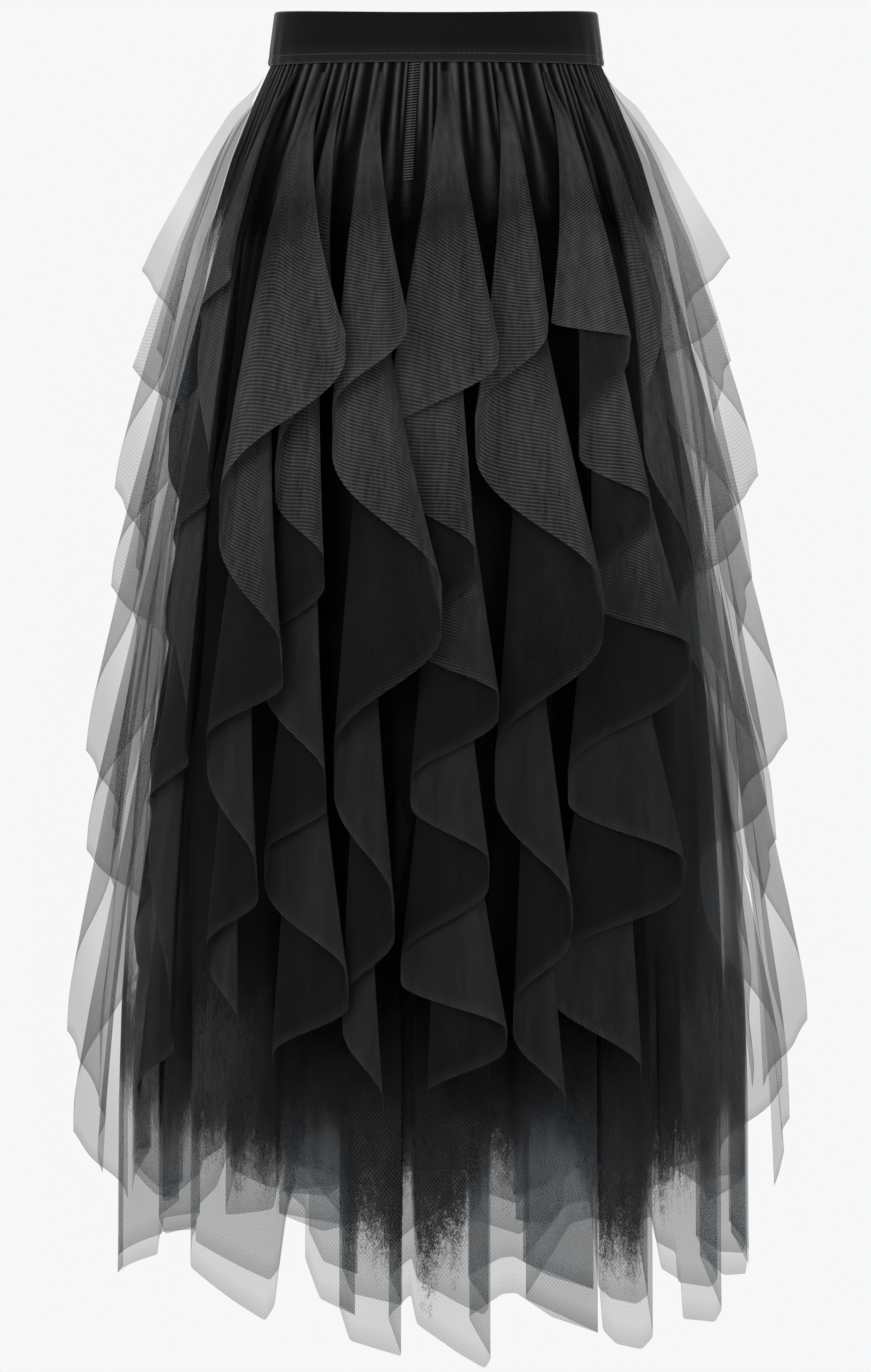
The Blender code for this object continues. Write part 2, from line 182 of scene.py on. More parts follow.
# The overskirt's hem across the front: a run along its long points, each a fold of net that laps
# back behind the next one, and how far down the dark pressed folds reach. The back has the same
# hem seen through from the front.
HEM_FRONT = (
    Hem(-91, -822, 4, -712),
    Hem(-86, -827, 0, -712),
    Hem(-61, -812, 2, -725),
    Hem(-66, -798, 13, -735),
    Hem(-52, -795, 12, -735),
    Hem(-50.5, -800, 4, -738),
    Hem(-50, -819, 1, -740),
    Hem(-39, -840, 0, -748),
    Hem(-32, -853, 1, -760),
    Hem(-30.5, -843, 4, -765),
    Hem(-29.5, -788, 11, -780),
    Hem(-28.4, -772, 14, -780),
    Hem(-25.0, -780, 10, -745),
    Hem(-24.1, -812, 2, -742),
    Hem(-21, -838, 0, -742),
    Hem(-14.5, -849, 4, -750),
    Hem(-18.5, -842, 12, -800),
    Hem(-15.5, -865, 1, -822),
    Hem(-6, -875, 0, -826),
    Hem(-9, -850, 12, -800),
    Hem(-4.7, -835, 11, -780),
    Hem(-3.4, -854, 1, -832),
    Hem(4, -873, 0, -830),
    Hem(8.7, -883, 1, -752),
    Hem(10, -876, 4, -748),
    Hem(6, -850, 12, -745),
    Hem(12.5, -835, 13, -740),
    Hem(14.4, -834, 2, -735),
    Hem(21, -850, 0, -722),
    Hem(30.6, -861, 2, -720),
    Hem(16.5, -838, 9, -722),
    Hem(25.9, -790, 12, -760),
    Hem(30.9, -786, 11, -780),
    Hem(31.5, -859, 3, -835),
    Hem(34, -868, 1, -838),
    Hem(39.5, -872, 0, -830),
    Hem(43, -864, 3, -760),
    Hem(41.0, -790, 12, -760),
    Hem(45.0, -786, 12, -775),
    Hem(45.3, -820, 4, -778),
    Hem(50, -828, 2, -775),
    Hem(50.3, -853, 1, -770),
    Hem(60, -856, 0, -762),
    Hem(64.5, -848, 3, -750),
    Hem(60, -812, 12, -740),
    Hem(66, -826, 4, -735),
    Hem(75, -826, 0, -725),
    Hem(81, -814, 3, -715),
    Hem(77, -798, 12, -712),
    Hem(84, -818, 5, -712),
    Hem(91, -822, 4, -712),
)
HEM_ROUNDING = 3.5 * MM
SKIRT_HEM_WIDTH = 1.6 * MM
HEM_HIGH = -770 * MM
HEM_LOW = -883 * MM

# The underskirt's hem has the same run the other way round, shorter and more ragged, and its dark
# part ends more evenly
UNDERSKIRT_HEM_HIGH = -742 * MM
UNDERSKIRT_HEM_LOW = -800 * MM
UNDERSKIRT_RAGGED = (Wave(9, 60, 13.0),)
UNDERSKIRT_DARK_TO = -735.0
UNDERSKIRT_EVENED = 0.6

# The back's points hang this much higher, so that its hem doesn't show below the front's
BACK_SHORTER = 22 * MM

# The skirts' net. Pressed folds are dark above a ragged line, DARK_RAISE higher than the hem table
# says and fading over DARK_FADE, but only low down, where the long folds close up. Streaks make it
# ragged, other ones in each layer. The gathers are dark again under the band.
DARK_RAISE = 16 * MM
DARK_STREAK = 9 * MM
DARK_FADE = (-52 * MM, 48 * MM)
DARK_START = (-560 * MM, -680 * MM)
DARK_AT_BAND = (-170 * MM, -70 * MM)
UNDERSKIRT_STREAKS = (Wave(47, 150, 1.0), Wave(121, 0, 0.8))
OVERSKIRT_STREAKS = (Wave(47, 50, 1.0), Wave(121, 0, 0.8))
PRESSED_PLIES = 0.95
GATHERED_PLIES = 1.3

# Light on the skirts: on the gathers' ridges, through the net below the lining, and from behind at the
# sides, where the net stands clear of the lining. There its meshes also close up to an even tone. Both
# grow between two angles from the centre.
RIDGE_LIGHT = 0.75
LIGHT_BELOW = (-640 * MM, -790 * MM)
LEAST_LIGHT_BELOW = 0.22
SIDE_LIGHT = 0.8
LIGHT_AT_SIDES = (50.0, 78.0)
LIGHT_BELOW_BAND = (-60 * MM, -190 * MM)
CLOSED_UP_SIDES = (40.0, 66.0)
CLOSED_UP_ABOVE_HEM = (-780 * MM, -620 * MM)

# Down the skirt, in millimetres: how far the gathers and the long folds draw the net in
RELIEF = (
    Relief(-18, 1.2, 0.0),
    Relief(-42, 3.3, 0.0),
    Relief(-75, 2.2, 0.6),
    Relief(-125, 1.0, 1.6),
    Relief(-220, 0.0, 3.5),
    Relief(-480, 0.0, 5.0),
    Relief(-640, 0.0, 5.5),
    Relief(-725, 0.0, 9.0),
    Relief(-885, 0.0, 20.0),
)

# Flounces: the turns of each kind of free edge, in degrees aside, millimetres of height and shares of
# the flounce's reach
PATTERNS = {
    "broad": (
        Turn(21.0, -200, 1.0),
        Turn(-5.0, -322, 0.95),
        Turn(12.0, -424, 1.0),
        Turn(-4.5, -476, 0.85),
        Turn(9.0, -566, 1.0),
        Turn(-1.5, -612, 0.9),
        Turn(6.0, -660, 0.9),
    ),
    "under": (
        Turn(4.5, -195, 0.75),
        Turn(-7.0, -300, 0.8),
        Turn(5.5, -358, 0.9),
        Turn(-7.5, -420, 0.85),
        Turn(7.5, -506, 1.0),
        Turn(-5.0, -552, 0.85),
        Turn(12.0, -637, 1.0),
        Turn(-1.5, -684, 0.95),
    ),
    "twist": (
        Turn(6.5, -186, 1.0),
        Turn(-8.5, -262, 0.8),
        Turn(13.0, -384, 1.0),
        Turn(-6.0, -490, 0.85),
        Turn(5.5, -590, 1.0),
        Turn(-3.5, -650, 0.85),
        Turn(4.0, -715, 1.0),
    ),
    "centre": (
        Turn(12.0, -207, 1.0),
        Turn(-12.0, -284, 0.85),
        Turn(7.0, -354, 1.0),
        Turn(-3.5, -402, 0.85),
        Turn(10.5, -446, 1.0),
        Turn(-4.5, -504, 0.85),
        Turn(8.5, -556, 1.0),
        Turn(-6.0, -622, 0.9),
        Turn(11.0, -666, 1.0),
        Turn(-1.5, -708, 0.9),
    ),
    "wide": (
        Turn(-7.5, -190, 0.9),
        Turn(8.5, -204, 1.0),
        Turn(-3.0, -275, 0.85),
        Turn(10.0, -318, 0.9),
        Turn(-2.5, -372, 0.85),
        Turn(15.0, -414, 1.0),
        Turn(-9.0, -502, 0.9),
        Turn(10.5, -558, 1.0),
        Turn(-13.5, -626, 0.9),
        Turn(2.0, -696, 1.0),
    ),
    "short": (
        Turn(5.0, -176, 0.9),
        Turn(-5.0, -260, 0.9),
        Turn(5.0, -370, 1.0),
    ),
    "side": (
        Turn(8.0, -154, 1.0),
        Turn(-8.0, -190, 0.5),
        Turn(8.0, -300, 1.0),
        Turn(-8.0, -340, 0.5),
        Turn(8.0, -476, 1.0),
        Turn(-8.0, -516, 0.5),
        Turn(8.0, -664, 1.0),
        Turn(-6.0, -708, 0.6),
    ),
}

# Each flounce: the azimuth that its turns swing about, the azimuths of its seam's top and low end, the
# scale of its swing, how many millimetres higher it hangs and how far it stands out, and how much its
# left and right sides are lifted over the flounces beside it
FLOUNCES = (
    Flounce("flounce_front_1", "broad", -38, -43.5, -42.0, 1.0, 0, 32, 0.35, 0.4),
    Flounce("flounce_front_2", "under", -26, -32.0, -27.0, 1.0, 0, 24, -0.45, 0.32),
    Flounce("flounce_front_3", "twist", -12, -20.0, -14.5, 1.0, 0, 28, -0.5, 0.5),
    Flounce("flounce_front_4", "centre", 0, 3.5, 1.5, 1.0, 0, 27, -0.55, 0.45),
    Flounce("flounce_front_5", "twist", 16.5, 22.5, 18.0, 1.0, -2, 28, -0.5, 0.56),
    Flounce("flounce_front_6", "wide", 33, 40.0, 36.0, 1.0, 0, 27, -0.52, 0.4),
    Flounce("flounce_front_7", "short", 51, 52.0, 51.0, 1.0, 0, 20, -0.4, -0.4),
    Flounce("flounce_right_1", "side", 62, 62.0, 62.0, 1.0, -35, 27, -0.2, 0.32),
    Flounce("flounce_right_2", "side", 80, 80.0, 80.0, 1.0, 8, 30, -0.32, 0.32),
    Flounce("flounce_right_3", "side", 98, 98.0, 98.0, 1.0, -60, 28, -0.32, 0.32),
    Flounce("flounce_back_1", "twist", 115, 120.0, 116.0, 1.0, 10, 27, -0.45, 0.5),
    Flounce("flounce_back_2", "centre", 133, 136.0, 134.0, 1.0, 0, 27, -0.5, 0.45),
    Flounce("flounce_back_3", "twist", 151, 157.0, 153.0, 1.0, -22, 27, -0.4, 0.4),
    Flounce("flounce_back_4", "side", 169, 169.0, 169.0, 1.0, -40, 20, -0.32, -0.32),
    Flounce("flounce_back_5", "twist", 186, 180.0, 184.0, -1.0, -5, 27, 0.4, -0.4),
    Flounce("flounce_back_6", "centre", 202, 200.0, 201.0, -1.0, 8, 26, 0.45, -0.56),
    Flounce("flounce_back_7", "twist", 221, 215.0, 219.0, -1.0, -25, 28, 0.62, -0.4),
    Flounce("flounce_back_8", "centre", 238, 235.0, 237.0, -1.0, 12, 27, 0.4, -0.4),
    Flounce("flounce_left_1", "side", 255, 255.0, 255.0, -1.0, -52, 28, 0.32, -0.32),
    Flounce("flounce_left_2", "side", 272, 272.0, 272.0, -1.0, 0, 30, 0.32, -0.32),
    Flounce("flounce_left_3", "side", 289, 289.0, 289.0, -1.0, -66, 27, 0.32, -0.32),
    Flounce("flounce_left_4", "side", 305, 305.0, 305.0, 1.0, 0, 25, -0.32, 0.32),
)

# A flounce's seam starts at FLOUNCE_TOP and lies FLOUNCE_SEAT out from the overskirt. Each turn of its
# free edge hangs FLOUNCE_SLANT below its place on the seam, and the turns at the band lie in a stack.
FLOUNCE_TOP = -24.0 * MM
FLOUNCE_SLANT = 240 * MM
FLOUNCE_SEAT = 1.3 * MM
FLOUNCE_SEAT_ACROSS = (0.0, 0.2)
FLOUNCE_CLEARANCE = 4.0 * MM
FLOUNCE_STACK = 2.1 * MM
ROOT_SWING = 0.14
SEAM_LOW_HEIGHT = -300 * MM
FOLD_DEPTH_AT_SEAM = 0.3 * MM
FOLD_DEPTH_AT_EDGE = 2.2 * MM
LIFT_WIDTH = 20.0 * MM
EDGE_HANG = 1.35
RUN_STATIONS = 22
FLOUNCE_ACROSS = np.linspace(0.0, 1.0, 26) ** 0.85
FLOUNCE_HEM_WIDTH = 2.0 * MM

# Light on the flounces. It grows between two shares of their width from the seam. Less of it is left
# in the lower tiers, on the net's underside and among the gathers, and the ridges of the folds and the
# cut edge catch a little more. Streaks of light and shade run across them, so many radians for a turn
# of the free edge and for the width. The flounces at the side seams are thin and even.
STREAKS = ((9.0, 2.0), (27.0, 3.0))
STREAK_LIGHT = 0.84
STREAK_DEPTH = 0.1
OPENS_ACROSS = (0.22, 0.72)
LIGHT_NEAR_BAND = (-150 * MM, -70 * MM)
FIRST_RUN_ENDS = (1.0, 1.3)
TIERS_DARKEN = (-210 * MM, -460 * MM)
TIER_LIGHT = 0.34
UNDERSIDE_LIGHT = 0.28
UNDERSIDE_HALF_RUN = 0.42
GATHERS_SHADE = 0.9
GATHERS_SHADE_HEIGHTS = (-75 * MM, -35 * MM)
FOLD_RIDGE_WIDTH = 0.035
FOLD_RIDGE_LIGHT = 0.25
FOLD_RIDGE_ACROSS = (0.1, 0.5)
MOST_LIGHT = 0.85
CUT_EDGE_LIGHT = 0.15
FLOUNCE_PLIES = 0.9
SIDE_FROM_CENTRE = 60.0
SIDE_DIMMED = (0.62, 0.95)
SIDE_DIMMED_ACROSS = (0.5, 0.9)
SIDE_PLIES_AT_SEAM = 0.12
SIDE_PLIES_ACROSS = (0.3, 0.6)
SIDE_PLIES_BELOW = 0.1
SIDE_PLIES_HEIGHTS = (-250 * MM, -450 * MM)
CLOSED_UP_FLOUNCE = (45.0, 70.0)
CLOSED_UP_ACROSS = (0.6, 0.92)
CLOSED_UP_LIGHT = 0.45

# Finishes: how far apart the net's threads are drawn, and the satin's floats and the elastic's ribs.
# The covers are the share of what lies behind the net that it hides.
NET_DRAWN = 2.7 * MM
NET_SLANTS = (0.7, -0.9)
WEAKER_THREADS = 0.8
WEAVE_DRAWN = 1.6 * MM
THREAD_NARROWS = 3.0
# THIN_NET is the painted light colour of a single ply of net, cool grey as with light behind it
THIN_NET = "#3F4448"
PRESSED_COVER = 0.96
HEM_COVER = 0.14
CLOSED_UP_COVER = 0.23
CLOSED_UP_TONE = 1.1
SEVERAL_PLIES = 0.35

# Noise is spread over each piece's own box. So the heights of the net's clumps, with their shares, and
# of its clouds are those on a skirt panel, where each is about half as wide as it is high. The
# thread's twist is 0.25 mm along the topstitching, and runs together to a soft fleck.
PANEL_HEIGHT = 825 * MM
CLUMPS = ((1.375 * MM, 1.3), (7.5 * MM, 0.7))
CLOUD = 27.5 * MM
STITCHED_WIDTH = 225 * MM
TWIST = 0.25 * MM


def mix(start, end, share):
    """A value this share of the way from start to end."""
    return start + (end - start) * share


def column(rows, name, height):
    """A column of a table at heights in metres, on the straight lines between its rows."""
    heights = [row.height * MM for row in reversed(rows)]
    values = [getattr(row, name) * MM for row in reversed(rows)]
    return np.interp(height, heights, values)


def half_width(height):
    """Half the width of the overskirt's plan at a height."""
    return column(PROFILE, "half_width", height)


def place(azimuth, height, width, out):
    """Points of the ellipse of this half width, moved outwards along its normal."""
    angle = np.radians(azimuth)
    down = np.clip(height / DEPTH_HEM_HEIGHT, 0.0, 1.0)
    depth = width * mix(DEPTH_AT_WAIST, DEPTH_AT_HEM, down)
    normal_x = depth * np.sin(angle)
    normal_y = -width * np.cos(angle)
    length = np.hypot(normal_x, normal_y)
    x = width * np.sin(angle) + out * normal_x / length
    y = -depth * np.cos(angle) + out * normal_y / length
    return np.stack(np.broadcast_arrays(x, y, height), axis=-1)


def wave(turns):
    """A cosine wave that is 0 on its ridges and 1 in its troughs."""
    return 0.5 - 0.5 * np.cos(2 * math.pi * turns)


def unevenness(azimuth, waves):
    """A sum of sine waves round the skirt."""
    return sum(row.size * np.sin(np.radians(row.count * azimuth + row.start)) for row in waves)


def smooth(low, high, value):
    """Rises gently from 0 where value is low to 1 where it is high. low may be the larger."""
    share = np.clip((value - low) / (high - low), 0.0, 1.0)
    return share * share * (3.0 - 2.0 * share)


# Materials


def from_hex(colour):
    """An sRGB hex colour as linear red, green, blue and 1."""
    values = [int(colour[i : i + 2], 16) / 255 for i in (1, 3, 5)]
    linear = [v / 12.92 if v <= 0.04045 else ((v + 0.055) / 1.055) ** 2.4 for v in values]
    return (*linear, 1.0)


def put(tree, kind, feeds=None, **settings):
    """Adds a node. settings are its properties, feeds its inputs: a value or another node's output."""
    made = tree.nodes.new(kind)
    for name, value in settings.items():
        setattr(made, name, value)
    for socket, feed in (feeds or {}).items():
        if isinstance(feed, bpy.types.NodeSocket):
            tree.links.new(feed, made.inputs[socket])
        else:
            made.inputs[socket].default_value = feed
    return made


def finish_of(name, **sockets):
    """A material with a Principled shader whose plain sockets are set."""
    made = bpy.data.materials.new(name)
    made.use_nodes = True
    shader = made.node_tree.nodes["Principled BSDF"]
    for socket, value in sockets.items():
        shader.inputs[socket.replace("_", " ")].default_value = value
    return made, made.node_tree, shader


def threads(tree, pitch, slant):
    """1 on the threads of one direction of a cloth, 0 between them. pitch is their spacing in metres
    along the cloth's Y, and slant is how much they lean."""
    where = put(tree, "ShaderNodeUVMap", uv_map="Cloth")
    parts = put(tree, "ShaderNodeSeparateXYZ", {0: where.outputs["UV"]})
    slanted = put(
        tree,
        "ShaderNodeMath",
        {0: parts.outputs["X"], 1: slant, 2: parts.outputs["Y"]},
        operation="MULTIPLY_ADD",
    )
    turned = put(tree, "ShaderNodeMath", {0: slanted.outputs[0], 1: math.pi / pitch}, operation="MULTIPLY")
    swing = put(tree, "ShaderNodeMath", {0: turned.outputs[0]}, operation="SINE")
    size = put(tree, "ShaderNodeMath", {0: swing.outputs[0]}, operation="ABSOLUTE")
    narrow = put(tree, "ShaderNodeMath", {0: size.outputs[0], 1: THREAD_NARROWS}, operation="POWER")
    return narrow.outputs[0]


def tulle(name, mesh_cover, thread_cover, shaded, open_to_light, clumped):
    """Nylon tulle: a hexagonal net of hair-fine threads with meshes of about 1.5 mm.

    The eye gets a matt veil, darker where plies cross, with a faint slanting grain. The meshes are
    drawn 2.7 mm across, because 1.5 mm is too fine to show. A single ply with light behind it looks
    cool grey, and that grey is painted into its lit colour, THIN_NET. The covers are those in a mesh
    and on a thread, and clumped is how raggedly the pressed folds end. shaded is its painted shade
    colour, and open_to_light its painted light colour where several plies lie together or its
    meshes close up.

    It reads four marks from 0 to 1: hem at the cut edge, plies where folds are pressed together, lit
    for painted light and shade, which mixes its colour from the painted shade colour to the painted
    light colour, and closed_up where its meshes close up to an even tone.
    """
    made, tree, shader = finish_of(
        name,
        Roughness=0.85,
        Specular_IOR_Level=0.04,
        Sheen_Weight=0.02,
        Sheen_Roughness=0.5,
    )
    one = threads(tree, NET_DRAWN, NET_SLANTS[0])
    other = threads(tree, NET_DRAWN, NET_SLANTS[1])
    weaker = put(tree, "ShaderNodeMath", {0: other, 1: WEAKER_THREADS}, operation="MULTIPLY")
    net = put(tree, "ShaderNodeMath", {0: one, 1: weaker.outputs[0]}, operation="MAXIMUM")
    cover = put(
        tree,
        "ShaderNodeMapRange",
        {"Value": net.outputs[0], "To Min": mesh_cover, "To Max": thread_cover},
    )
    closed_up = put(tree, "ShaderNodeAttribute", attribute_name="closed_up").outputs["Fac"]
    veiled = put(
        tree,
        "ShaderNodeMix",
        {"Factor": closed_up, "A": cover.outputs["Result"], "B": CLOSED_UP_COVER},
    )
    hem = put(tree, "ShaderNodeAttribute", attribute_name="hem")
    edged = put(
        tree,
        "ShaderNodeMath",
        {0: hem.outputs["Fac"], 1: HEM_COVER, 2: veiled.outputs["Result"]},
        operation="MULTIPLY_ADD",
    )
    plies = put(tree, "ShaderNodeAttribute", attribute_name="plies")
    loose = plies.outputs["Fac"]
    for size, share in CLUMPS:
        clump = put(tree, "ShaderNodeTexNoise", {"Scale": PANEL_HEIGHT / size, "Detail": 1.0})
        centred = put(tree, "ShaderNodeMath", {0: clump.outputs["Fac"], 1: 0.5}, operation="SUBTRACT")
        loose = put(
            tree,
            "ShaderNodeMath",
            {0: centred.outputs[0], 1: share * clumped, 2: loose},
            operation="MULTIPLY_ADD",
        ).outputs[0]
    settled = put(
        tree,
        "ShaderNodeMapRange",
        {"Value": loose, "From Min": 0.36 * clumped, "From Max": 1.0 - 0.1 * clumped},
    )
    alpha = put(
        tree,
        "ShaderNodeMix",
        {"Factor": settled.outputs["Result"], "A": edged.outputs[0], "B": PRESSED_COVER},
    )
    tree.links.new(alpha.outputs["Result"], shader.inputs["Alpha"])
    dense = put(
        tree,
        "ShaderNodeMath",
        {0: settled.outputs["Result"], 1: closed_up},
        operation="MAXIMUM",
    )
    several = put(tree, "ShaderNodeMapRange", {"Value": dense.outputs[0], "From Max": SEVERAL_PLIES})
    # Painted light colour: cool grey THIN_NET on a single ply, open_to_light where plies lie together
    glow = put(
        tree,
        "ShaderNodeMix",
        {"Factor": several.outputs["Result"], "A": from_hex(THIN_NET), "B": from_hex(open_to_light)},
        data_type="RGBA",
    )
    # Painted light and shade: the lit mark mixes the net's colour from its shaded colour to its painted
    # light colour
    lit = put(tree, "ShaderNodeAttribute", attribute_name="lit")
    dye_and_painted_light = put(
        tree,
        "ShaderNodeMix",
        {"Factor": lit.outputs["Fac"], "A": from_hex(shaded), "B": glow.outputs["Result"]},
        data_type="RGBA",
    )
    cloud = put(tree, "ShaderNodeTexNoise", {"Scale": PANEL_HEIGHT / CLOUD, "Detail": 3.0})
    uneven = put(
        tree,
        "ShaderNodeMapRange",
        {"Value": cloud.outputs["Fac"], "From Min": 0.3, "From Max": 0.7, "To Min": 0.78, "To Max": 1.22},
    )
    grained = put(
        tree,
        "ShaderNodeMapRange",
        {"Value": net.outputs[0], "To Min": 0.3, "To Max": 1.65},
    )
    smoothed = put(
        tree,
        "ShaderNodeMix",
        {"Factor": closed_up, "A": grained.outputs["Result"], "B": CLOSED_UP_TONE},
    )
    tone = put(
        tree,
        "ShaderNodeMath",
        {0: uneven.outputs["Result"], 1: smoothed.outputs["Result"]},
        operation="MULTIPLY",
    )
    toned = put(
        tree,
        "ShaderNodeVectorMath",
        {0: dye_and_painted_light.outputs["Result"], "Scale": tone.outputs[0]},
        operation="SCALE",
    )
    tree.links.new(toned.outputs[0], shader.inputs["Base Color"])
    return made


def satin():
    """Polyester satin: a warp-faced weave that hides what is under it. The eye gets deep black with
    a soft sheen along the gathers, a painted highlight on their ridges from the lit mark. Its floats
    of about 0.3 mm are drawn 1.6 mm apart, to show."""
    made, tree, shader = finish_of(
        "black polyester satin",
        Roughness=0.42,
        Specular_IOR_Level=0.15,
    )
    weft = threads(tree, WEAVE_DRAWN, 0.15)
    woven = put(tree, "ShaderNodeMapRange", {"Value": weft, "To Min": 0.7, "To Max": 1.0})
    # Painted highlight: the lit mark lightens the satin's colour on the gathers' ridges
    lit = put(tree, "ShaderNodeAttribute", attribute_name="lit")
    shine = put(
        tree,
        "ShaderNodeMath",
        {0: lit.outputs["Fac"], 1: woven.outputs["Result"]},
        operation="MULTIPLY",
    )
    dye_and_painted_light = put(
        tree,
        "ShaderNodeMix",
        {"Factor": shine.outputs[0], "A": from_hex("#040405"), "B": from_hex("#4C4C4E")},
        data_type="RGBA",
    )
    tree.links.new(dye_and_painted_light.outputs["Result"], shader.inputs["Base Color"])
    return made


def knit_elastic():
    """Woven rib elastic: rubber threads bound in matt polyester. The eye gets fine level ribs,
    drawn 1.6 mm apart where the real ones are about 0.8 mm, which would be lost."""
    made, tree, shader = finish_of(
        "matt rib elastic",
        Roughness=0.75,
        Specular_IOR_Level=0.1,
        Sheen_Weight=0.5,
        Sheen_Roughness=0.25,
    )
    ribs = threads(tree, WEAVE_DRAWN, 0.0)
    # Painted highlight: the rim mark lightens the elastic's colour where light catches the wall low down
    # and at its lower edge
    rim = put(tree, "ShaderNodeAttribute", attribute_name="rim")
    knit = put(
        tree,
        "ShaderNodeMix",
        {"Factor": ribs, "A": from_hex("#040404"), "B": from_hex("#0C0C0D")},
        data_type="RGBA",
    )
    dye_and_painted_light = put(
        tree,
        "ShaderNodeMix",
        {"Factor": rim.outputs["Fac"], "A": knit.outputs["Result"], "B": from_hex("#3C3C3E")},
        data_type="RGBA",
    )
    tree.links.new(dye_and_painted_light.outputs["Result"], shader.inputs["Base Color"])
    raised = put(tree, "ShaderNodeBump", {"Strength": 0.35, "Distance": 0.2 * MM, "Height": ribs})
    tree.links.new(raised.outputs["Normal"], shader.inputs["Normal"])
    return made


def sewing_thread():
    """Spun polyester thread. The eye gets a matt, softly flecked line, a shade lighter than the cloth
    it lies on."""
    made, tree, shader = finish_of("black spun thread", Roughness=0.7, Specular_IOR_Level=0.3)
    twist = put(tree, "ShaderNodeTexNoise", {"Scale": STITCHED_WIDTH / TWIST})
    dye_and_painted_light = put(
        tree,
        "ShaderNodeMix",
        {"Factor": twist.outputs["Fac"], "A": from_hex("#323334"), "B": from_hex("#515254")},
        data_type="RGBA",
    )
    tree.links.new(dye_and_painted_light.outputs["Result"], shader.inputs["Base Color"])
    return made


# Sheets


def loft(node, points, grain, finish, slot, ring=False, **marks):
    """A sheet through a grid of points. grain holds each point's place on the flat cloth in metres,
    and marks hold values from 0 to 1 that its material reads."""
    rows, across = points.shape[:2]
    index = np.arange(rows * across).reshape(rows, across)
    if ring:
        index = np.concatenate((index, index[:, :1]), axis=1)
    quads = np.stack((index[:-1, :-1], index[1:, :-1], index[1:, 1:], index[:-1, 1:]), axis=-1)
    mesh = bpy.data.meshes.new(f"{node}_{slot}")
    mesh.from_pydata(points.reshape(-1, 3).tolist(), [], quads.reshape(-1, 4).tolist())
    mesh.shade_smooth()
    loop_points = np.empty(len(mesh.loops), np.int32)
    mesh.loops.foreach_get("vertex_index", loop_points)
    layer = mesh.uv_layers.new(name="Cloth")
    layer.data.foreach_set("uv", grain.reshape(-1, 2)[loop_points].astype(np.float32).ravel())
    for mark, values in marks.items():
        written = mesh.attributes.new(mark, "FLOAT", "POINT")
        spread = np.broadcast_to(values, (rows, across)).astype(np.float32)
        written.data.foreach_set("value", spread.ravel())
    mesh.materials.append(finish)
    made = bpy.data.objects.new(f"{node}_{slot}", mesh)
    bpy.context.scene.collection.objects.link(made)
    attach(made, "root")
    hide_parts(node)
    return made


def run_length(line):
    """Distance of each point of a line from its first point, measured along it."""
    steps = np.linalg.norm(np.diff(line, axis=0), axis=-1)
    return np.concatenate(([0.0], np.cumsum(steps)))


def free_edge(turns, along):
    """Asides, heights and reaches of a free edge, where along counts its turns. It rounds each fold."""
    index = np.minimum(along.astype(int), len(turns) - 2)
    share = along - index
    table = np.array(turns, float)
    start = table[index]
    end = table[index + 1]
    hung = np.clip(0.5 + (share - 0.5) * EDGE_HANG, 0.0, 1.0)
    aside = mix(start[:, 0], end[:, 0], wave(0.5 * hung))
    return aside, mix(start[:, 1], end[:, 1], share) * MM, mix(start[:, 2], end[:, 2], share)


def hanging_fold(azimuth, height):
    """How far the long folds draw the net in. They are a little uneven round the skirt."""
    turns = FOLD_COUNT * azimuth / 360.0 + unevenness(azimuth, FOLDS_UNEVEN)
    return column(RELIEF, "fold", height) * wave(turns)


def from_centre(azimuth):
    """Degrees from the centre front or the centre back, whichever is nearer."""
    return np.abs((azimuth + 90.0) % 180.0 - 90.0)


def side_flounce(plan):
    """Whether a flounce hangs at a side seam, away from the front and the back."""
    return from_centre(plan.middle) > SIDE_FROM_CENTRE


def underside_runs(turns, along, scale):
    """1 on the runs whose edge goes down to the left, which show the net's underside, else 0."""
    runs = zip(turns, turns[1:])
    shows = np.array([(end.aside - start.aside) * scale < 0 for start, end in runs], float)
    middles = np.repeat(np.arange(len(shows)) + 0.5, 2)
    ends = middles + np.tile((-UNDERSIDE_HALF_RUN, UNDERSIDE_HALF_RUN), len(shows))
    return np.interp(along, ends, np.repeat(shows, 2))


